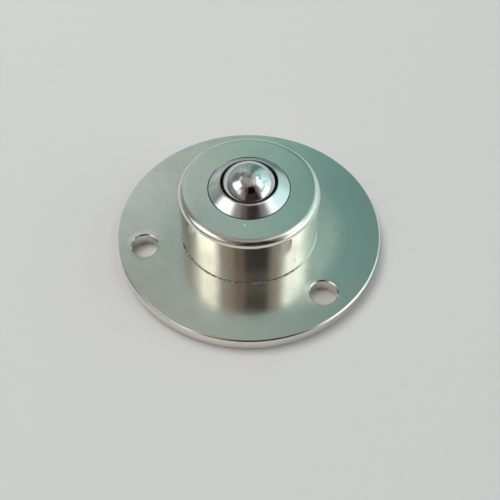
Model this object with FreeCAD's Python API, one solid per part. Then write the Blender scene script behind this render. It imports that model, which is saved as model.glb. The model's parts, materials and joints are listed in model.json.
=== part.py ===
"""Flange-mounted ball transfer unit with a turned body.

One turned housing carries a hardened ball cup in a blind bore.  A bed of small
support balls lies in the cup, the main ball runs on that bed, and a pressed-in
cover ring with a conical bezel keeps everything in.  Three plain holes in the
flange take the mounting screws.

Frame: origin at the centre of the flange's underside, +Z up along the ball's
axis, first flange hole on +Y.  Every length is in millimetres.
"""
import FreeCAD, Part
import math
import os

V = FreeCAD.Vector

# ---------------------------------------------------------------- driving sizes
# Flange
flange_t = 2.4            # thickness
flange_edge = 0.2         # 45 degree break on both rim edges
hole_pcd = 36.0           # pitch circle of the screw holes
hole_to_rim = 4.5         # hole centre to the flange's rim
hole_count = 3
hole_first_deg = 90.0     # azimuth of the first hole
hole_d = 4.5              # plain clearance hole
hole_edge = 0.2           # 45 degree break at both ends of each hole

# Body that stands on the flange
body_d = 23.2
body_h = 10.5             # from the flange's top face to the body's top face
body_edge = 1.2           # rounding of the body's top edge
body_root = 0.15          # fillet where the body meets the flange
bore_mouth = 0.1          # break at the bore's mouth, seen as a fine seam

# Balls
main_ball_d = 9.525       # 3/8 in
support_ball_d = 1.984    # 5/64 in
ball_play = 0.02          # running play of a support ball at the ball and the race
row_gap = 0.02            # least gap between neighbouring support balls
bed_rows = 3              # rows of support balls round the lowest one

# Ball cup
cup_floor = 1.3           # under the race's lowest point
cup_wall = 0.5            # beside the bed's top row
cup_edge = 0.5            # break at the cup's lower corner
cup_lip = 0.57            # straight wall above the race
cup_play = 0.1            # between the bed's top row and that wall
cup_fit = 0.01            # radial, cup in bore

# Cover ring
cover_rise = 1.45         # height of the conical bezel above the body's top face
cover_fit = 0.01          # radial, ring in bore
cover_lift = 0.14         # between the bed's top row and the ring's underside
skirt_play = 0.11         # radial, round the main ball's equator
land_bite = 0.1225        # how far the land closes in over the main ball's radius
land_play = 0.065         # radial, land to ball where the land begins
land_h = 0.7895           # height of the land, to the ring's top face
land_lead = 0.7           # height of the cone that leads from the skirt to the land
land_edge = 0.05          # break at the aperture's upper edge
rim_w = 0.22              # rim from the aperture to the bezel's cone
rim_fall = 0.045          # how far that rim falls outwards

# ------------------------------------------------------------- derived sizes
flange_r = hole_pcd / 2 + hole_to_rim
body_r = body_d / 2
body_top = flange_t + body_h
cover_top = body_top + cover_rise

ball_r = main_ball_d / 2
sup_r = support_ball_d / 2
bed_r = ball_r + ball_play + sup_r            # circle of the support balls' centres
race_r = bed_r + sup_r + ball_play            # the cup's spherical race

land_r = ball_r - land_bite
land_z = math.sqrt(ball_r ** 2 - (land_r - land_play) ** 2)   # above the ball's centre
ball_z = cover_top - land_h - land_z          # height of the main ball's centre


def lay_bed():
    """Polar angle and number of balls of each row of the bed.

    The first ball lies under the main ball.  The rows are as close as the
    balls allow, and the second one is just wide enough for six balls.
    """
    step = support_ball_d + row_gap
    pitch = max(2 * math.asin(step / 2 / bed_r), math.asin(step / bed_r))
    bed = [(0.0, 1)]
    for k in range(1, bed_rows + 1):
        circle = bed_r * math.sin(k * pitch)
        bed.append((k * pitch, int(math.pi / math.asin(step / 2 / circle) + 1e-6)))
    return bed


rows = lay_bed()
top_polar = rows[-1][0]
bed_out = bed_r * math.sin(top_polar) + sup_r          # the bed's largest radius
bed_top = ball_z - bed_r * math.cos(top_polar) + sup_r  # the bed's highest point

cup_in = bed_out + cup_play
bore_r = cup_in + cup_wall
cup_r = bore_r - cup_fit
race_top = ball_z - math.sqrt(race_r ** 2 - cup_in ** 2)
cup_top = race_top + cup_lip
bore_floor = ball_z - race_r - cup_floor

cover_r = bore_r - cover_fit
skirt_r = ball_r + skirt_play
cover_under = bed_top + cover_lift
rim_r = land_r + rim_w


# ------------------------------------------------------------------- helpers
def turned(edges):
    """Solid of revolution about Z from a closed chain of edges in the XZ plane."""
    face = Part.Face(Part.Wire(edges))
    return face.revolve(V(0, 0, 0), V(0, 0, 1), 360)


def chain(*points):
    """Straight edges through (radius, height) points."""
    p = [V(r, 0, z) for r, z in points]
    return [Part.LineSegment(a, b).toShape() for a, b in zip(p[:-1], p[1:])]


def arc(a, m, b):
    """Circular edge through three (radius, height) points."""
    return Part.Arc(*[V(r, 0, z) for r, z in (a, m, b)]).toShape()


def quarter(radius):
    """How far the middle of a quarter round stays off its square corner, along each side."""
    return radius * (1 - math.sqrt(0.5))


# --------------------------------------------------------------------- pieces
def make_housing():
    root, edge = quarter(body_root), quarter(body_edge)
    outline = chain((0, bore_floor), (0, 0), (flange_r - flange_edge, 0),
                    (flange_r, flange_edge), (flange_r, flange_t - flange_edge),
                    (flange_r - flange_edge, flange_t), (body_r + body_root, flange_t))
    outline.append(arc((body_r + body_root, flange_t), (body_r + root, flange_t + root),
                       (body_r, flange_t + body_root)))
    outline += chain((body_r, flange_t + body_root), (body_r, body_top - body_edge))
    outline.append(arc((body_r, body_top - body_edge), (body_r - edge, body_top - edge),
                       (body_r - body_edge, body_top)))
    outline += chain((body_r - body_edge, body_top), (bore_r + bore_mouth, body_top),
                     (bore_r, body_top - bore_mouth), (bore_r, bore_floor), (0, bore_floor))
    solid = turned(outline)

    hole_r = hole_d / 2
    tool = turned(chain((0, 0), (hole_r + hole_edge, 0), (hole_r, hole_edge),
                        (hole_r, flange_t - hole_edge), (hole_r + hole_edge, flange_t),
                        (0, flange_t), (0, 0)))
    for i in range(hole_count):
        a = math.radians(hole_first_deg + 360.0 * i / hole_count)
        cut = tool.copy()
        cut.translate(V(hole_pcd / 2 * math.cos(a), hole_pcd / 2 * math.sin(a), 0))
        solid = solid.cut(cut)
    return solid


def make_cup():
    low = (0, ball_z - race_r)
    half = math.asin(cup_in / race_r) / 2
    mid = (race_r * math.sin(half), ball_z - race_r * math.cos(half))
    outline = chain(low, (0, bore_floor), (cup_r - cup_edge, bore_floor),
                    (cup_r, bore_floor + cup_edge), (cup_r, cup_top),
                    (cup_in, cup_top), (cup_in, race_top))
    outline.append(arc((cup_in, race_top), mid, low))
    return turned(outline)


def make_cover():
    return turned(chain(
        (cup_in, cup_top), (cover_r, cup_top), (cover_r, body_top),
        (rim_r, cover_top - rim_fall), (land_r + land_edge, cover_top),
        (land_r, cover_top - land_edge), (land_r, ball_z + land_z),
        (skirt_r, ball_z + land_z - land_lead), (skirt_r, cover_under),
        (cup_in, cover_under), (cup_in, cup_top)))


def make_support_balls():
    """Yield each support ball, row by row from the pole outwards."""
    for k, (polar, count) in enumerate(rows):
        circle = bed_r * math.sin(polar)
        z = ball_z - bed_r * math.cos(polar)
        for i in range(count):
            a = 2 * math.pi * (i + 0.5 * (k % 2)) / count
            ball = Part.makeSphere(sup_r)
            ball.translate(V(circle * math.cos(a), circle * math.sin(a), z))
            yield ball


def make_main_ball():
    ball = Part.makeSphere(ball_r)
    ball.translate(V(0, 0, ball_z))
    return ball


# ---------------------------------------------------------------------- output
os.makedirs("parts", exist_ok=True)

nodes = {
    "housing": make_housing(),
    "ball_cup": make_cup(),
    "cover_ring": make_cover(),
    "main_ball": make_main_ball(),
}
for number, ball in enumerate(make_support_balls(), start=1):
    nodes["support_ball_%02d" % number] = ball

for name, shape in nodes.items():
    shape.exportStep("parts/%s.step" % name)
    print("%-16s %10.3f mm3  %d faces" % (name, shape.Volume, len(shape.Faces)))

print("overall height %.3f, flange diameter %.3f, ball centre %.4f"
      % (ball_z + ball_r, 2 * flange_r, ball_z))
print("bore radius %.3f, cup %.3f to %.3f, ring underside %.3f, rows %s"
      % (bore_r, bore_floor, cup_top, cover_under,
         [(round(math.degrees(p), 2), n) for p, n in rows]))
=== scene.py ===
# %% [markdown]
# # A ball transfer unit in four kinds of steel
# A ball transfer unit is a caster with no wheel: one ball sits in a bed of
# small balls and carries a load in any direction.  This one is screwed down
# through a round flange.  The CAD model gives every size and every place.
# Here each piece is made again with fine edges, gets a steel finish of its
# own, and is lit so that its polish has something soft to show.

# %% Load the frame
import bmesh
import bpy
import json
from math import asin, cos, pi, radians, sin, sqrt, tan
from mathutils import Matrix, Vector


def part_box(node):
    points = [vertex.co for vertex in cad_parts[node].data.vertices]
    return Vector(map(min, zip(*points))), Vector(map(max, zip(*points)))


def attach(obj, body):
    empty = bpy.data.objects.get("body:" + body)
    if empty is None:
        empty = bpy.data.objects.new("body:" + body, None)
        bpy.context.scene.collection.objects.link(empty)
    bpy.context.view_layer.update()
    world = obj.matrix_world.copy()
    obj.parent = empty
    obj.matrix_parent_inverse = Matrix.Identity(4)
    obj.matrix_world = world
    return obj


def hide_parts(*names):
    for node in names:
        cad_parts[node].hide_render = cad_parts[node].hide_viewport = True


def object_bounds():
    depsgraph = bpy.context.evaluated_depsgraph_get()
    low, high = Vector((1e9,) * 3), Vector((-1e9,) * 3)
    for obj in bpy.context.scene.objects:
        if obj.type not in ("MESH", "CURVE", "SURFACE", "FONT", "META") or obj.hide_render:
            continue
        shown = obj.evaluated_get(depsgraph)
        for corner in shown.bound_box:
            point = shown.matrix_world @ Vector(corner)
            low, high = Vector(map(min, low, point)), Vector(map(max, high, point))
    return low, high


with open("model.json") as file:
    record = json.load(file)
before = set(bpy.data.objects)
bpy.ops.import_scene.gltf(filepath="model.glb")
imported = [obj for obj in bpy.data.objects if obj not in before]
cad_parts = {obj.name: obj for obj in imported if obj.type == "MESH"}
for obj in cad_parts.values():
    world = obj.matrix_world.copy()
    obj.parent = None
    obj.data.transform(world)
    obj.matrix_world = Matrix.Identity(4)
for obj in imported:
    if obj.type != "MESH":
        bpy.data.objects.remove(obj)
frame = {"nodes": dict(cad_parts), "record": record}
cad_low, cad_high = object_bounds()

scene = bpy.context.scene

# %% [markdown]
# ## Sizes
# A maker works in millimetres and Blender in metres, so one factor turns one
# into the other. The screw circle and the body come from the mounts in the
# record. Only the flange's thickness and small things are written down, such
# as the widths of the broken edges, because no box shows them.

# %% Sizes in millimetres
MM = 0.001


def box_mm(node):
    """Lowest and highest corner of a CAD node, in millimetres."""
    low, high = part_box(node)
    return low / MM, high / MM


print("CAD box in mm:", [round(v / MM, 2) for v in (*cad_low, *cad_high)])
mounts = {m["name"]: m for m in frame["record"]["mounts"]}
screws, spigot = mounts["screw_holes"]["dims"], mounts["body_spigot"]["dims"]
housing_high = box_mm("housing")[1]
flange_r = housing_high.x                      # the flange's rim
flange_t = 2.4                                 # the flange's thickness
flange_edge = 0.2                              # 45 degree break at the rim
body_r = spigot["r_mm"]                        # the turned body
body_top = housing_high.z                      # its flat top face
body_edge = 1.2                                # rounding of its edge
body_root = 0.15                               # fillet between body and flange
hole_r, hole_count = screws["hole_r_mm"], screws["count"]
hole_circle = screws["pcd_mm"] / 2
hole_edge = 0.2                                # break at the mouth of each hole
first_hole = 90.0                              # degrees, the first hole lies on +Y

cup_low, cup_high = box_mm("ball_cup")
ring_low, ring_high = box_mm("cover_ring")
ball_low, ball_high = box_mm("main_ball")
ring_r = ring_high.x
ring_fit = 0.01                                # a light press fit, radial
bore_r = ring_r + ring_fit
ball_r = (ball_high.z - ball_low.z) / 2
ball_z = (ball_high.z + ball_low.z) / 2
print(f"flange {2 * flange_r:.2f}, body {2 * body_r:.2f}, "
      f"ball {2 * ball_r:.3f} at {ball_z:.3f} mm")

# %% [markdown]
# ## The viewpoint
# The camera comes first, because every later choice of edge width and finish
# is judged through it.  It could be aimed with a Track To constraint, but
# then a small tilt or an off-centre framing is hard to give.  Three unit
# vectors are clearer: right, up and back, built from the height angle over
# the table, the turn about Z and a slight roll.  The unit is small, so the
# camera is close, and the near rim of the flange looks larger than the far one.

# %% Camera
camera_turn = 17.57                            # degrees about Z, 0 looks along +Y
camera_height = 53.309                         # degrees above the table
camera_roll = -0.158                           # degrees, a slight tilt of the frame
camera_distance = 138.496                      # mm
slide_right, slide_up = 0.1755, -2.3968        # mm, moves the camera to frame the unit
focal_length, sensor = 57.134, 36.0            # mm

lift, roll = radians(camera_height), radians(camera_roll)
right = Vector((1, 0, 0))
up = Vector((0, sin(lift), cos(lift)))
back = Vector((0, -cos(lift), sin(lift)))
right, up = cos(roll) * right - sin(roll) * up, sin(roll) * right + cos(roll) * up
turn = Matrix.Rotation(radians(camera_turn), 3, "Z")
axes = turn @ Matrix((right, up, back)).transposed()
place = axes @ Vector((slide_right, slide_up, camera_distance)) * MM

lens = bpy.data.cameras.new("viewpoint")
lens.sensor_width, lens.lens = sensor, focal_length
lens.clip_start, lens.clip_end = 0.005, 20.0
camera = bpy.data.objects.new("viewpoint", lens)
scene.collection.objects.link(camera)
camera.matrix_world = Matrix.Translation(place) @ axes.to_4x4()
scene.camera = camera
print("camera at", [round(v, 4) for v in place])

# %% [markdown]
# ## Turning a piece
# Housing, cover ring and cup all come off a lathe, so each is a line spun about
# Z.  The line is drawn as corners: a radius, a height and, where the corner is
# rounded, the size of the rounding.  A Bevel modifier on the finished piece
# could round the edges too, but a bevel on the corner of the bare line, before
# the spin, is cheaper and gives clean rings.  The flat beside a rounding would
# pick up its slope in the shading, so a holding point is put just outside each
# rounding, which keeps a polished flat truly flat.

# %% A lathe
STEPS = 288                                    # a full turn, divisible by three holes
HOLD = 0.03                                    # mm, from a rounding to its holding point
FINE, COARSE = 5, 12                           # segments of a small and of a wide rounding
WIDE = 0.2                                     # mm, a rounding that reaches further is wide
SHARP = 28.0                                   # degrees, a steeper corner shows as an edge


def lathe(outline, steps=STEPS, closed=False):
    """Spin (radius, height[, rounding]) corners in mm about Z into a bmesh in metres."""
    corners = [Vector((c[0], 0, c[1])) for c in outline]
    rounding = [c[2] if len(c) > 2 else 0 for c in outline]
    count = len(corners)
    bm = bmesh.new()
    line, to_round = [], []
    for i, corner in enumerate(corners):
        before, after = corners[i - 1], corners[(i + 1) % count]
        if rounding[i]:
            a, b = (before - corner).normalized(), (after - corner).normalized()
            reach = rounding[i] / tan(a.angle(b) / 2)
            line.append(bm.verts.new((corner + a * (reach + HOLD)) * MM))
            line.append(bm.verts.new(corner * MM))
            to_round.append((line[-1], reach))
            line.append(bm.verts.new((corner + b * (reach + HOLD)) * MM))
        else:
            line.append(bm.verts.new(corner * MM))
    ends = line[1:] + line[:1] if closed else line[1:]
    for a, b in zip(line, ends):
        bm.edges.new((a, b))
    for vert, reach in to_round:
        bmesh.ops.bevel(bm, geom=[vert], offset=reach * MM, offset_type="OFFSET",
                        segments=COARSE if reach > WIDE else FINE,
                        profile=0.5, affect="VERTICES", material=-1)
    bmesh.ops.spin(bm, geom=bm.verts[:] + bm.edges[:], cent=(0, 0, 0), axis=(0, 0, 1),
                   dvec=(0, 0, 0), angle=2 * pi, steps=steps, use_merge=True, use_duplicate=False)
    bmesh.ops.remove_doubles(bm, verts=bm.verts, dist=1e-7)
    bmesh.ops.recalc_face_normals(bm, faces=bm.faces)
    return bm


print("a full turn is", STEPS, "steps")

# %% [markdown]
# ## From a mesh to an object
# Every piece goes into the scene the same way: at the origin, with its place
# in its mesh, as the CAD nodes are.  Smooth shading alone would smear the
# corners that a lathe tool leaves crisp, and flat shading would show every
# face, so all faces are smooth and only steep corners are marked as sharp.

# %% A piece in the scene
def piece(name, bm, sharp=SHARP):
    """Put a bmesh in the scene as an object at the origin, smooth but for its corners."""
    for face in bm.faces:
        face.smooth = True
    mesh = bpy.data.meshes.new(name)
    bm.to_mesh(mesh)
    bm.free()
    mesh.set_sharp_from_angle(angle=radians(sharp))
    made = bpy.data.objects.new(name, mesh)
    scene.collection.objects.link(made)
    print(f"{name}: {len(mesh.polygons)} faces")
    return made


print("corners over", SHARP, "degrees stay sharp")

# %% [markdown]
# ## The housing
# The real housing is one turned bar: flange, body and a blind bore.  A lathe
# hand breaks every outer edge, and the wide rounding of the body's top edge
# is the brightest line on the unit.  Each corner of a break is itself a
# little round, so that light rolls over it and doesn't stop at a line.

# %% Turned housing
bore_floor = cup_low.z
bore_mouth = 0.1                               # break at the mouth of the bore
housing_outline = [
    (0, bore_floor), (0, 0),
    (flange_r - flange_edge, 0, 0.06), (flange_r, flange_edge, 0.06),
    (flange_r, flange_t - flange_edge, 0.08), (flange_r - flange_edge, flange_t, 0.08),
    (body_r, flange_t, body_root),
    (body_r, body_top, body_edge),
    (bore_r + bore_mouth, body_top, 0.03), (bore_r, body_top - bore_mouth),
    (bore_r, bore_floor),
]
housing = piece("turned_housing", lathe(housing_outline))

# %% [markdown]
# ## The screw holes
# Three plain holes take the screws.  They can't be spun about the main axis.
# They could be built into the flange's faces, but then the flat round them has
# to be cut up by hand.  A drill is simpler: each is turned in its own
# right, with a flared mouth above and below, and a Boolean modifier in exact
# mode takes it out of the flange and keeps the flats flat.

# %% Screw holes
hole_angles = [radians(first_hole + 360 * number / hole_count) for number in range(hole_count)]
hole_centres = [(hole_circle * cos(angle), hole_circle * sin(angle)) for angle in hole_angles]
past = 0.3                                     # how far a drill stands out of the flange
flare = hole_edge + past                       # a 45 degree mouth is that much wider there
drill_steps = 96

drills = []
for number, (centre_x, centre_y) in enumerate(hole_centres):
    drill = lathe([(0, -past), (hole_r + flare, -past), (hole_r, hole_edge, 0.05),
                   (hole_r, flange_t - hole_edge, 0.05), (hole_r + flare, flange_t + past),
                   (0, flange_t + past)], steps=drill_steps)
    bmesh.ops.translate(drill, verts=drill.verts, vec=Vector((centre_x, centre_y, 0)) * MM)
    drills.append(piece(f"drill_{number}", drill))
    cut = housing.modifiers.new(f"hole_{number}", "BOOLEAN")
    cut.operation, cut.solver, cut.object = "DIFFERENCE", "EXACT", drills[-1]

drilled = bpy.data.meshes.new_from_object(
    housing.evaluated_get(bpy.context.evaluated_depsgraph_get()))
housing.modifiers.clear()
housing.data = drilled
drilled.name = "turned_housing"
drilled.set_sharp_from_angle(angle=radians(SHARP))
for drill in drills:
    bpy.data.objects.remove(drill)
print("drilled housing:", len(drilled.polygons), "faces")

# %% [markdown]
# ## The cover ring
# A thin ring is pressed into the bore over the balls.  Its outside is a cone
# that leads a load up onto the ball, and its inside closes to just less than
# the ball's width, which is what keeps the ball in.  It could be a part of the
# housing, but the fine dark seam round it shows that it is a separate ring.  So
# it is turned as one, from a closed line, with a small bright land round the
# opening.

# %% Cover ring
land_r = ball_r - 0.1225                       # the opening, narrower than the ball
land_play = 0.065                              # between the ball and the land's lower edge
land_low = ball_z + sqrt(ball_r ** 2 - (land_r - land_play) ** 2)
land_lead = 0.7                                # height of the cone that leads up to the land
rim_r = land_r + 0.22                          # where the cone of the bezel ends
rim_fall = 0.045                               # how far the rim falls outwards
rim_round = 0.75                               # soft turn from the cone to the rim
skirt_r = ball_r + 0.11                        # clears the ball's widest line
collar = 0.649                                 # height of the ring's foot, beside the bed
ring_under, ring_top = ring_low.z + collar, ring_high.z
cup_inner_r = bore_r - 0.5                     # inside of the cup's wall, and of the foot
ring = piece("cover_ring_turned", lathe([
    (cup_inner_r, ring_low.z), (ring_r, ring_low.z, 0.03), (ring_r, body_top, 0.06),
    (rim_r, ring_top - rim_fall, rim_round), (land_r, ring_top, 0.04),
    (land_r, land_low, 0.03), (skirt_r, land_low - land_lead), (skirt_r, ring_under, 0.03),
    (cup_inner_r, ring_under),
], closed=True))

# %% [markdown]
# ## The ball cup
# Under the balls lies a hardened cup with a ground spherical race.  It is out
# of sight, but it is what carries the load, so it is made with its true race.
# A sphere could be cut out of a turned slug with a Boolean.  Here the race is
# part of the line that is spun, with corners on a circle round the ball's
# centre, because that needs no cut and leaves no stray faces.

# %% Ball cup
cup_floor = 1.3                                # steel under the race's lowest point
cup_edge = 0.5                                 # 45 degree break at the cup's lower corner
race_r = ball_z - bore_floor - cup_floor
race_angle = asin(cup_inner_r / race_r)        # from the lowest point to the wall
race_steps, cup_steps = 24, 192                # out of sight, so fewer than elsewhere
race = [(race_r * sin(race_angle * k / race_steps),
         ball_z - race_r * cos(race_angle * k / race_steps)) for k in range(race_steps + 1)]
cup_r = cup_high.x
cup = piece("ball_cup_ground", lathe(
    race + [(cup_inner_r, cup_high.z, 0.03), (cup_r, cup_high.z, 0.03),
            (cup_r, cup_low.z + cup_edge, 0.05), (cup_r - cup_edge, cup_low.z, 0.05),
            (0, cup_low.z)],
    steps=cup_steps))

# %% [markdown]
# ## The balls
# A bearing ball is the truest sphere that one can buy.  A UV sphere has poles
# that crowd its faces together, so the balls are icospheres: even triangles,
# and shading that is smooth right to the edge.  The big ball gets enough of
# them for a clean outline, the bed balls fewer, because they are small and
# nearly hidden.

# %% Main ball and bed balls
def ball(name, centre, radius, fineness):
    """A true sphere in place; centre and radius in mm."""
    bm = bmesh.new()
    bmesh.ops.create_icosphere(bm, subdivisions=fineness, radius=radius * MM,
                               matrix=Matrix.Translation(centre * MM))
    return piece(name, bm, sharp=180.0)


main_ball = ball("rolling_ball", (ball_low + ball_high) / 2, ball_r, fineness=6)
bed_balls = {}
for node in sorted(n for n in frame["nodes"] if n.startswith("support_ball_")):
    low, high = box_mm(node)
    bed_balls[node] = ball(node.replace("support", "bed"), (low + high) / 2,
                           (high.z - low.z) / 2, fineness=4)
print(len(bed_balls), "bed balls")

# %% [markdown]
# ## Writing shader maths
# A finish is a sum of small effects: rings from the tool, smudges, a dark line
# of dirt.  As wires between nodes such sums are hard to read.  So one small
# class wraps a socket and lets Python's + - * add the Math nodes, and one
# method adds any other node from its type, its settings and its sockets.

# %% A socket that can be used in sums
class Wire:
    """An output socket, or the start of a node tree, that plain sums work on."""

    def __init__(self, tree, socket=None):
        self.tree, self.socket = tree, socket

    def node(self, kind, settings=None, sockets=None, out=0):
        """Add a node: its settings first, then a value or a wire for each named socket."""
        made = self.tree.nodes.new(kind)
        for key, value in (settings or {}).items():
            if key == "stops":
                ramp = made.color_ramp.elements
                while len(ramp) < len(value):
                    ramp.new(1.0)
                for stop, (position, colour) in zip(ramp, value):
                    stop.position, stop.color = position, (*colour, 1.0)
            else:
                setattr(made, key, value)
        for key, value in (sockets or {}).items():
            if isinstance(value, Wire):
                self.tree.links.new(value.socket, made.inputs[key])
            else:
                made.inputs[key].default_value = value
        return Wire(self.tree, made.outputs[out]) if made.outputs else None

    def other(self, name):
        """Another output of the same node."""
        return Wire(self.tree, self.socket.node.outputs[name])

    def math(self, operation, *values):
        """A Math node on wires and numbers."""
        return self.node("ShaderNodeMath", {"operation": operation}, dict(enumerate(values)))

    def vector(self, operation, sockets, out=0):
        """A Vector Math node, which keeps all three parts of a place or a colour."""
        return self.node("ShaderNodeVectorMath", {"operation": operation}, sockets, out)

    def most(self, other):
        """The higher of two masks."""
        return self.math("MAXIMUM", self, other)

    def __add__(self, other): return self.math("ADD", self, other)
    def __radd__(self, other): return self.math("ADD", other, self)
    def __sub__(self, other): return self.math("SUBTRACT", self, other)
    def __rsub__(self, other): return self.math("SUBTRACT", other, self)
    def __mul__(self, other): return self.math("MULTIPLY", self, other)
    def __rmul__(self, other): return self.math("MULTIPLY", other, self)
    def __neg__(self): return self.math("MULTIPLY", self, -1.0)
    def __abs__(self): return self.math("ABSOLUTE", self)


# %% [markdown]
# Nearly every mask is one of two things: a slope between two values, or one
# colour laid over another.  Short names for both keep the finishes readable.

# %% Slopes and layers of colour
def rise(value, low, high):
    """0 below low, 1 above high and a smooth slope between them; high may be the lower."""
    start, end = (0.0, 1.0) if low < high else (1.0, 0.0)
    return value.node("ShaderNodeMapRange", {"interpolation_type": "SMOOTHSTEP", "clamp": True},
                      {0: value, 1: min(low, high), 2: max(low, high), 3: start, 4: end})


def mix(mask, under, over):
    """A colour over another where the mask is 1."""
    def colour(c):
        return c if isinstance(c, Wire) else (*c, 1.0)
    return mask.node("ShaderNodeMix", {"data_type": "RGBA", "clamp_factor": True},
                     {0: mask, 6: colour(under), 7: colour(over)}, out=2)


# %% [markdown]
# ## Where a point lies on a turned piece
# A lathe's marks follow its axis.  Object coordinates give a point's place in
# metres, because every piece sits at the origin.  Scaled to millimetres they
# give a radius and a height, and those two are the natural words for all
# that a lathe leaves behind.  Dirt and smudges follow the hand and not the
# axis, so they are noise in space, or lie round a point.

# %% Radius and height
class Place:
    """Coordinates of the shaded point, in millimetres."""

    def __init__(self, material):
        material.use_nodes = True
        material.node_tree.nodes.clear()
        self.start = Wire(material.node_tree)
        metres = self.start.node("ShaderNodeTexCoord", out="Object")
        self.point = self.start.vector("SCALE", {0: metres, "Scale": 1 / MM})
        self.x = self.start.node("ShaderNodeSeparateXYZ", None, {0: self.point})
        self.y, self.z = self.x.other("Y"), self.x.other("Z")
        square = self.x * self.x + self.y * self.y
        self.radius = square.math("SQRT", square)

    def noise(self, scale, detail=2.0, roughness=0.5, along=None, shift=0.0):
        """Noise in space, or along one number when along is given; scale is per millimetre.

        A shift moves the pattern, so that two of the same scale don't fall together.
        """
        dimensions, where = "1D", {"W": along}
        if along is None:
            dimensions, where = "3D", {"Vector": self.point}
            if shift:
                where["Vector"] = self.start.vector("ADD", {0: self.point, 1: (shift,) * 3})
        sockets = {"Scale": scale, "Detail": detail, "Roughness": roughness, **where}
        return self.start.node("ShaderNodeTexNoise", {"noise_dimensions": dimensions}, sockets,
                               out="Fac")

    def away(self, centre):
        """Distance from a point."""
        return self.start.vector("DISTANCE", {0: self.point, 1: centre}, out="Value")

    def spots(self, specks):
        """1 inside any of some small round specks, each a centre and a radius, 0 outside."""
        found = None
        for centre, radius in specks:
            spot = rise(self.away(centre), radius * 1.15, radius * 0.75)
            found = spot if found is None else found.most(spot)
        return found


# %% [markdown]
# ## One shader for all the steel
# Every finish here is a metal that differs in colour, in gloss and in the
# height of its marks.  Two things are steel's own.  Rings from a lathe spread
# a reflection across them and hardly along them, which is the shader's
# anisotropy.  And fine scratches lay a dull veil over a mirror without taking
# the mirror away.  One rough shader can't show both at once, so a duller copy
# of it is mixed in by the share of the surface that is scratched.

# %% Steel
DULL = 0.32                                    # roughness of the scratched share


def steel(material, place, colour, roughness, height=None, metallic=1.0, haze=None, turned=0.0):
    """Join colour, roughness and a height in thousandths of a mm into one metal shader.

    Haze is the share of the surface that fine scratches make dull.  Turned is how
    much the lathe's rings spread a reflection across them, and not along them.
    """
    start = place.start
    sockets = {"Base Color": colour, "Roughness": roughness, "Metallic": metallic}
    if turned:
        sockets.update({"Anisotropic": turned, "Anisotropic Rotation": 0.25})
    if height is not None:
        sockets["Normal"] = start.node("ShaderNodeBump", None, {
            "Strength": 1.0, "Distance": 0.001 * MM, "Height": height})
    shader = start.node("ShaderNodeBsdfPrincipled", None, sockets)
    if haze is not None:
        dull = start.node("ShaderNodeBsdfPrincipled", None, {**sockets, "Roughness": DULL})
        shader = start.node("ShaderNodeMixShader", None, {0: haze, 1: shader, 2: dull})
    start.node("ShaderNodeOutputMaterial", None, {"Surface": shader})
    print(f"{material.name}: {len(material.node_tree.nodes)} nodes")


# %% [markdown]
# ## Finish of the housing
# Bright nickel over turned steel.  Four things make it look handled and not
# computed: rings so fine that they only soften the mirror, a slow unevenness
# of the plating, smudges that dull it here and there, and dirt in the seam
# round the cover ring.  The crease at the foot of the body gets painted shade.
# It could be one picture wrapped round the piece, but masks from radius and
# height stay sharp at any distance.  Each is a number from 0 to 1.

# %% Nickel and the marks of the lathe
housing_finish = bpy.data.materials.new("nickel_bright_turned_steel")
at = Place(housing_finish)
along = at.radius + at.z                       # grows across the marks on every turned face
rings = at.noise(6.0, detail=5.0, roughness=0.65, along=along)
bands = at.noise(0.9, detail=2.0, along=along)
waves = at.noise(0.16, detail=1.0, shift=7.0)  # slow unevenness under the plating
smudge = rise(at.noise(0.22, detail=4.0, roughness=0.62), 0.46, 0.70)
stain = at.noise(0.11, detail=3.0, roughness=0.55, shift=31.0)
nickel = mix(rise(stain, 0.35, 0.68), (0.855, 0.840, 0.760), (0.885, 0.870, 0.790))
nickel = mix(smudge * 0.25, nickel, (0.70, 0.69, 0.64))
print("rings, bands, waves, smudges and stains on the nickel")

# %% [markdown]
# The crease at the foot of the body gets painted shade, and the seam round
# the cover ring gets dirt.  A plain dark line there looks drawn.  So noise
# breaks both up, and the painted shade is left out on the lit side of the
# foot, where the fillet catches the light.

# %% Painted shade at the body's foot, dirt in the ring's seam
lit_side_from = radians(20.0)                     # the lit side, where the foot gets no painted shade, from +X towards +Y
sideways = at.x * cos(lit_side_from) + at.y * sin(lit_side_from)
lit_side = rise(sideways, 6.5, 9.5)
low_on_body = rise(at.z, flange_t + 0.30, flange_t + 0.12)
on_body_foot = rise(at.radius, body_r + 0.26, body_r + 0.10) * low_on_body
foot_noise = at.noise(1.6, detail=4.0, roughness=0.7)
# painted shade in the crease at the body's foot, broken by noise, none on the lit side
painted_foot_shade = on_body_foot * rise(foot_noise, 0.34, 0.54) * (1.0 - lit_side)

beside_seam = rise(at.radius, bore_r + bore_mouth + 0.02, bore_r + bore_mouth - 0.02)
seam_dirt = beside_seam * rise(at.z, body_top - 0.25, body_top - 0.15)
seam_dirt = seam_dirt * (0.45 + 0.55 * rise(at.noise(0.25, detail=2.0, shift=11.0), 0.42, 0.56))
# painted shade at the body's foot first, then dirt in the ring's seam
nickel = mix(painted_foot_shade * 0.9, nickel, (0.075, 0.06, 0.05))
nickel = mix(seam_dirt, nickel, (0.03, 0.028, 0.026))
print("dirt round the body's foot and in the ring's seam")

# %% [markdown]
# Specks come last on the colour, because they lie on top of all the rest.
# Scattered noise would put them anywhere, in the light as well as the shade.
# A few with a place and a size of their own look more like the
# dust and grit of a workshop: pale dust, dark grit and a little lint that
# caught at the foot of the body.

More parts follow.
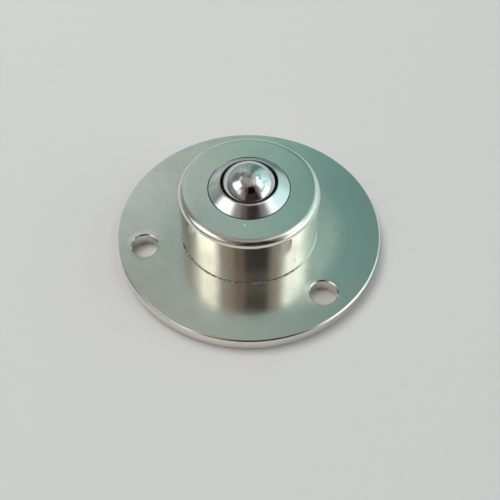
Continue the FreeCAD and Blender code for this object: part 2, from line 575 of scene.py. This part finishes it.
# %% Dust, grit and lint
dust_specks = [((1.716, -7.586, body_top), 0.13), ((12.092, 2.671, flange_t), 0.15),
               ((12.3, 3.6, flange_t), 0.07), ((-3.9, -12.6, flange_t), 0.06),
               ((6.1, -10.4, flange_t + 0.1), 0.07), ((-8.2, 3.1, body_top), 0.05),
               ((5.4, 8.4, body_top), 0.05)]   # place and radius in mm
grit_specks = [((11.771, -5.705, flange_t), 0.12), ((-8.794, -7.565, flange_t + 0.15), 0.16),
               ((-15.4, -9.1, flange_t), 0.05), ((3.3, -19.4, flange_t), 0.05)]
dust, grit = at.spots(dust_specks), at.spots(grit_specks)
lint = on_body_foot * rise(at.noise(5.0, detail=3.0, shift=3.0), 0.50, 0.60)
dust = dust.most(lint * 0.7)
nickel = mix(grit * 0.9, nickel, (0.05, 0.045, 0.04))
nickel = mix(dust, nickel, (0.85, 0.85, 0.84))
print(len(dust_specks), "specks of dust,", len(grit_specks), "of grit, and lint at the foot")

# %% [markdown]
# Gloss is what tells the faces apart.  The body's wall is the crispest
# mirror.  The flange is duller round the body, where the tool turned back and
# a cloth only smears, and one thumb has touched it.  The drill left a
# low, dull swell round each hole.

# %% Veils on the flange
on_flange = rise(at.z, flange_t + 0.6, flange_t + 0.1)
round_foot = rise(at.radius, body_r + 3.8, body_r + 1.2) * on_flange
mottle = rise(at.noise(0.45, detail=4.0, roughness=0.6, shift=17.0), 0.30, 0.55)
patchy = on_flange * (0.8 + 0.2 * mottle)
smear = rise(sideways, 9.5, 11.5) + 0.7 * rise(sideways, -7.5, -10.0)
smear = smear * rise(at.radius, body_r + 5.4, body_r + 2.4) * patchy
thumb_place = (12.9, -10.5, flange_t)
thumb = rise(at.away(thumb_place), 3.6, 0.9) * patchy

to_hole = None                                 # distance to the nearest hole's centre
for centre_x, centre_y in hole_centres:
    distance = at.away((centre_x, centre_y, flange_t))
    to_hole = distance if to_hole is None else to_hole.math("MINIMUM", to_hole, distance)
rolled = rise(to_hole, hole_r + 1.35, hole_r + 0.1)
haze = 0.015 + 0.27 * round_foot + 0.70 * smear + 0.15 * rolled + 0.55 * thumb
print("veils round the foot, at both sides, under a thumb and round", hole_count, "holes")

# %% [markdown]
# The masks now meet in two sums.  Gloss starts from a satin mirror and each
# mask makes it duller or crisper.  Height is in thousandths of a millimetre,
# so even a speck of dust stands only a hair above the nickel.

# %% Gloss and height of the housing
wall = rise(at.radius, body_r + 0.4, body_r + 0.1) * rise(at.z, body_top - 0.02, body_top - 0.3)
edge_r, edge_z = body_r - body_edge, body_top - body_edge
worn_edge = rise(at.radius, edge_r - 0.1, edge_r + 0.05) * rise(at.z, edge_z - 0.15, edge_z)
gloss = 0.138 - 0.048 * wall + 0.04 * smudge + 0.03 * worn_edge
gloss = gloss + 0.02 * (bands - 0.5) + 0.02 * (rings - 0.5)
gloss = gloss + 0.35 * painted_foot_shade + 0.3 * seam_dirt + 0.5 * dust + 0.3 * grit
height_of_marks = rings * 0.12 + bands * 0.10 + waves * 3.0 + (dust + grit) * 20.0
height_of_marks = height_of_marks + 30.0 * rolled * rolled
steel(housing_finish, at, nickel, gloss, height_of_marks, metallic=1.0 - dust, haze=haze,
      turned=0.8)

# %% [markdown]
# ## Finish of the cover ring
# The ring is cut from free-cutting steel and left as the tool leaves it, so it
# is whiter and crisper than the housing.  The inside of its opening is painted
# near black as the shade of the deep, narrow gap round the ball, and that black
# line is what sets the ball off from the ring.

# %% Bright cover ring
ring_finish = bpy.data.materials.new("bright_turned_ring")
at = Place(ring_finish)
along = at.radius * 1.3 + at.z                 # a little finer across the flat rim
rings = at.noise(9.0, detail=5.0, roughness=0.6, along=along)
bands = at.noise(1.7, detail=2.0, along=along)
smudge = rise(at.noise(0.5, detail=3.0), 0.5, 0.72)
bore = rise(at.radius, land_r + 0.06, land_r + 0.01)
under_land = rise(at.z, land_low + 0.05, land_low - 0.1)
inside = rise(at.radius, land_r + 0.3, land_r + 0.2) * under_land
low_on_ring = rise(at.z, body_top + 0.07, body_top + 0.01)
foot = low_on_ring * rise(at.radius, ring_r - 0.08, ring_r - 0.04)
bright = mix(smudge * 0.3, (0.80, 0.80, 0.785), (0.72, 0.72, 0.70))
# painted shade: the bore of the opening and the skirt under the land go near black
bright = mix(bore * 0.85, bright, (0.05, 0.045, 0.043))
bright = mix(inside, bright, (0.02, 0.018, 0.017))
bright = mix(foot * 0.9, bright, (0.03, 0.028, 0.026))
gloss = 0.18 + 0.04 * (bands - 0.5) + 0.04 * smudge + 0.35 * bore + 0.1 * inside + 0.3 * foot
steel(ring_finish, at, bright, gloss, rings * 0.12 + bands * 0.1, haze=0.05 + 0.04 * smudge,
      turned=0.7)

# %% [markdown]
# ## Finish of the ball
# Bearing steel polished to a mirror.  A perfect mirror looks like a drawing,
# so faint scuffs of rolling cross it in all directions, and a
# breath of oil dulls it in patches.

# %% Polished ball
ball_finish = bpy.data.materials.new("polished_bearing_steel")
at = Place(ball_finish)
oil = rise(at.noise(0.55, detail=3.0, roughness=0.6), 0.48, 0.72)
scuffs = at.noise(14.0, detail=6.0, roughness=0.7)
tint = mix(oil * 0.3, (0.735, 0.730, 0.730), (0.68, 0.68, 0.675))
steel(ball_finish, at, tint, 0.045 + 0.035 * oil + 0.02 * scuffs, scuffs * 0.05)

# %% [markdown]
# ## Finish of the hidden steel
# The cup is hardened and ground, and wears a film of oil, so it is darker and
# has a ground sheen.  The bed balls are the same polished steel as the main
# one, with the oil that keeps them running.  They could share its finish, but
# oil is what a look into the open unit shows first.

# %% Ground cup and oiled bed balls
cup_finish = bpy.data.materials.new("hardened_ground_steel")
at = Place(cup_finish)
grind = at.noise(12.0, detail=4.0, roughness=0.6, along=at.radius + at.z)
heat = at.noise(0.3, detail=3.0)
steel(cup_finish, at, mix(rise(heat, 0.35, 0.7), (0.47, 0.46, 0.46), (0.56, 0.54, 0.51)),
      0.22 + 0.08 * (grind - 0.5) + 0.06 * heat, grind * 0.3)

bed_finish = bpy.data.materials.new("oiled_bearing_steel")
at = Place(bed_finish)
film = rise(at.noise(0.8, detail=3.0), 0.42, 0.7)
steel(bed_finish, at, mix(film, (0.70, 0.70, 0.70), (0.58, 0.56, 0.52)),
      0.07 + 0.08 * film, at.noise(16.0, detail=4.0) * 0.05)

# %% [markdown]
# ## Which finish goes where
# Each new piece stands for a CAD node, which is hidden, gets its finish and
# rides on its body, so it moves when the joints move.  This could be said piece
# by piece, but one table is easier to check against the CAD model.

# %% Finishes, slots and bodies
for made, finish, node, slot, body in (
        (housing, housing_finish, "housing", "housing_steel", "housing"),
        (cup, cup_finish, "ball_cup", "hardened_steel", "housing"),
        (ring, ring_finish, "cover_ring", "cover_steel", "housing"),
        (main_ball, ball_finish, "main_ball", "ball_steel", "main_ball"),
        *((bed_ball, bed_finish, node, "ball_steel", "support_balls")
          for node, bed_ball in bed_balls.items())):
    made.data.materials.clear()
    made.data.materials.append(finish)
    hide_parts(node)
    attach(made, body)
print("dressed", 4 + len(bed_balls), "pieces")

# %% [markdown]
# ## Floor
# The unit stands on a plain pale board, wide enough to run past every view.
# A flat disc with hardly any grain is all it needs, and the unit's own soft
# shadow does the rest.  The shader is the one for steel with no metal in it.

# %% Floor
floor_radius = 3.0                             # metres
bm = bmesh.new()
bmesh.ops.create_circle(bm, cap_ends=True, cap_tris=False, segments=96, radius=floor_radius,
                        matrix=Matrix.Translation((0, 0, cad_low.z)))
floor = piece("floor", bm)
floor_finish = bpy.data.materials.new("pale_board")
at = Place(floor_finish)
board = mix(at.noise(0.4, detail=4.0), (0.665, 0.64, 0.635), (0.685, 0.66, 0.655))
steel(floor_finish, at, board, 0.85, metallic=0.0)
floor.data.materials.append(floor_finish)

# %% [markdown]
# ## Light
# Polished steel has no colour of its own: it shows the room.  So the room is
# the real material here, and it is built as a list of large soft panels,
# each with a direction, a width, a height, a colour and a soft edge: two
# bright windows, a pale curtain and a green-grey wall behind.  Steel also
# needs something dark to show, or it looks like plaster, so a dark card
# stands in front.  All this could be built from real cards with area lamps on
# them, but cards get in the way of other views.  A world shader that reads
# only the direction stays out of everyone's way and turns with nothing.

# %% Directions in the room
world = bpy.data.worlds.new("soft_studio")
scene.world = world
world.use_nodes = True
world.node_tree.nodes.clear()
sky = Wire(world.node_tree)
direction = sky.node("ShaderNodeMapping", {"vector_type": "POINT"},
                     {"Vector": sky.node("ShaderNodeTexCoord", out="Generated"),
                      "Rotation": (0.0, 0.0, radians(-camera_turn))})
x = sky.node("ShaderNodeSeparateXYZ", None, {0: direction})
y, z = x.other("Y"), x.other("Z")
bearing = sky.math("ARCTAN2", x, -y) * (180 / pi)     # 0 towards the camera, + to its right
height = sky.math("ARCSINE", z) * (180 / pi)          # 0 at the horizon
print("bearing and height of every direction, in degrees")

# %% Unevenness of the room
def room_noise(vector, scale, **more):
    """Noise over the directions of the room."""
    return sky.node("ShaderNodeTexNoise", {"noise_dimensions": "3D"},
                    {"Vector": vector, "Scale": scale, **more})


upright = sky.node("ShaderNodeMapping", {"vector_type": "POINT"},
                   {"Vector": direction, "Scale": (1.0, 1.0, 0.1)})
stray = room_noise(direction, 3.0, Detail=3.0)
clutter = room_noise(direction, 7.0, Detail=5.0, Roughness=0.6)
folds = room_noise(upright, 9.0, Detail=4.0, Roughness=0.6)
turned_to = bearing + 9.0 * (stray - 0.5)      # up to 4.5 degrees off, so no panel is straight
uneven = rise(clutter * 0.45 + folds * 0.55, 0.40, 0.60)
print("stray edges, clutter and upright folds")

# %% [markdown]
# The walls go all round as one ramp over the bearing, now darker and now
# lighter.  The panels are laid over it one after the other, so a later one
# hides an earlier one, as a card hides a window.

# %% The room as soft panels
# bearing and colour, from the middle behind over the left, the front and the right
walls = [(-180, (0.28, 0.425, 0.405)), (-177, (0.32, 0.425, 0.41)), (-172, (0.375, 0.445, 0.43)),
         (-166, (0.41, 0.46, 0.45)), (-152, (0.42, 0.52, 0.50)), (-138, (0.40, 0.49, 0.46)),
         (-116, (0.33, 0.41, 0.38)), (-100, (0.24, 0.29, 0.28)),
         (-30, (0.24, 0.23, 0.22)), (50, (0.34, 0.33, 0.33)), (88, (0.78, 1.06, 1.08)),
         (102, (0.80, 1.16, 1.18)), (122, (0.68, 1.00, 1.00)), (146, (0.44, 0.70, 0.67)),
         (157, (0.13, 0.24, 0.23)), (167, (0.13, 0.265, 0.25)), (172, (0.17, 0.33, 0.315)),
         (176, (0.23, 0.40, 0.38)), (180, (0.28, 0.425, 0.405))]
room = bearing.node("ShaderNodeValToRGB",
                    {"stops": [((at_bearing + 180) / 360, colour) for at_bearing, colour in walls]},
                    {"Fac": bearing * (1 / 360) + 0.5})

# name, bearing from and to, height from and to in degrees, soft edge across and up, colour
panels = [
    ("top of the curtain", 102, 152, 43, 66, 16, 10, (0.47, 0.64, 0.60)),
    ("edge of the ceiling", -200, 200, 60, 100, 10, 14, (0.30, 0.28, 0.265)),
    ("middle of the ceiling", -200, 200, 71, 100, 10, 8, (0.38, 0.355, 0.34)),
    ("ceiling towards the right", 44, 118, 58, 78, 24, 12, (0.62, 0.64, 0.59)),
    ("ceiling towards the curtain", 112, 146, 58, 74, 16, 12, (0.42, 0.55, 0.50)),
    ("ceiling behind", 150, 210, 70, 84, 24, 8, (0.16, 0.20, 0.17)),
    ("pane behind on the left", -174, -156, 44, 51, 6, 4, (0.52, 0.57, 0.58)),
    ("back wall low on the left", -186, -130, -20, 14, 16, 16, (0.31, 0.38, 0.37)),
    ("dark beam on the left", -138, -101, 26, 63, 16, 12, (0.19, 0.225, 0.21)),
    ("wall under the windows", -112, 45, -20, 22, 12, 12, (0.24, 0.25, 0.24)),
    ("low dark shelf", -98, 50, -20, 7, 14, 9, (0.045, 0.04, 0.038)),
    ("dark beam up high", -156, -101, 48, 62, 14, 8, (0.20, 0.215, 0.19)),
    ("upper pane on the left", -124, -90, 54, 65, 10, 3, (0.64, 0.64, 0.59)),
    ("door frame", -37, -25, 42, 72, 8, 10, (0.26, 0.22, 0.18)),
    ("dark door", -25, 2, 36, 60, 8, 12, (0.125, 0.078, 0.064)),
    ("over the right window", 64, 100, 40, 62, 20, 10, (1.34, 1.42, 1.42)),
    ("upper pane on the right", 80, 122, 53, 64, 14, 4, (1.34, 1.48, 1.46)),
    ("head of the right window", 62, 90, 31, 41, 12, 8, (1.10, 1.22, 1.22)),
    ("beside the dark card", 26, 53, 36, 60, 14, 8, (0.20, 0.165, 0.155)),
    ("left window", -94, -53, 26, 57.5, 20, 6, (1.45, 1.44, 1.37)),
    ("left window, the sky", -91, -58, 29, 50, 18, 6, (1.90, 1.90, 1.86)),
    ("inner pane of the left window", -56, -36, 22, 42, 16, 10, (1.0, 0.99, 0.97)),
    ("right window", 51, 94, -20, 24, 11, 10, (1.42, 1.43, 1.48)),
    ("dark card, the wide lower part", -16, 42, -20, 37, 18, 12, (0.048, 0.032, 0.034)),
    ("dark card, the upper part", -8, 35, 33, 62, 12, 9, (0.006, 0.003, 0.004)),
]
for name, first, last, low, high, soft, fade, colour in panels:
    middle, half = (first + last) / 2, (last - first) / 2
    away = abs(sky.math("WRAP", turned_to - middle, 180.0, -180.0))
    across = rise(away, half + soft / 2, half - soft / 2)
    above = rise(height, low - fade / 2, low + fade / 2)
    below = rise(height, high + fade / 2, high - fade / 2)
    room = mix(across * above * below, room, colour)
dimmed = room.vector("SCALE", {0: room, "Scale": 0.84})
lit = room.vector("SCALE", {0: room, "Scale": 1.14})
room = mix(uneven, dimmed, lit)
print(len(walls), "stops round the walls and", len(panels), "soft panels")

# %% [markdown]
# ## Backdrop and floor light
# In a low view the camera looks over the edge of the board.  It should see a
# plain pale backdrop there and not the room, so rays from the camera get the
# pale colour.  Glossy and transmitted rays get it too where the backdrop
# stands, in a low band at the horizon, so the steel shows it as well.
# A board lit by the room alone is grey.  One large soft lamp overhead brings
# it up and gives the shadow a direction.  It is kept out of glossy rays, or
# it would stand as a hard white square in every polished face.

# %% Backdrop
rays = sky.node("ShaderNodeLightPath", out="Is Camera Ray")
shiny = rays.other("Is Glossy Ray").most(rays.other("Is Transmission Ray"))
at_horizon = rise(height, 3.0, 0.5)
room = mix(rays.most(shiny * at_horizon), room, (0.62, 0.62, 0.62))
shader = sky.node("ShaderNodeBackground", None, {"Color": room, "Strength": 1.0})
sky.node("ShaderNodeOutputWorld", None, {"Surface": shader})
print(world.name, "has", len(world.node_tree.nodes), "nodes")

# %% Overhead lamp
lamp_width, lamp_power = 0.55, 3.4             # metres, watts
softbox = bpy.data.lights.new("overhead_softbox", "AREA")
softbox.shape, softbox.size, softbox.energy = "DISK", lamp_width, lamp_power
lamp = bpy.data.objects.new("overhead_softbox", softbox)
lamp.location = turn @ Vector((-0.28, 0.22, 0.72))     # metres, behind on the left
lamp.rotation_euler = lamp.location.to_track_quat("Z", "Y").to_euler()
lamp.visible_glossy = False
scene.collection.objects.link(lamp)
scene.view_settings.view_transform = "Standard"
print("lamp at", [round(v, 2) for v in lamp.location])
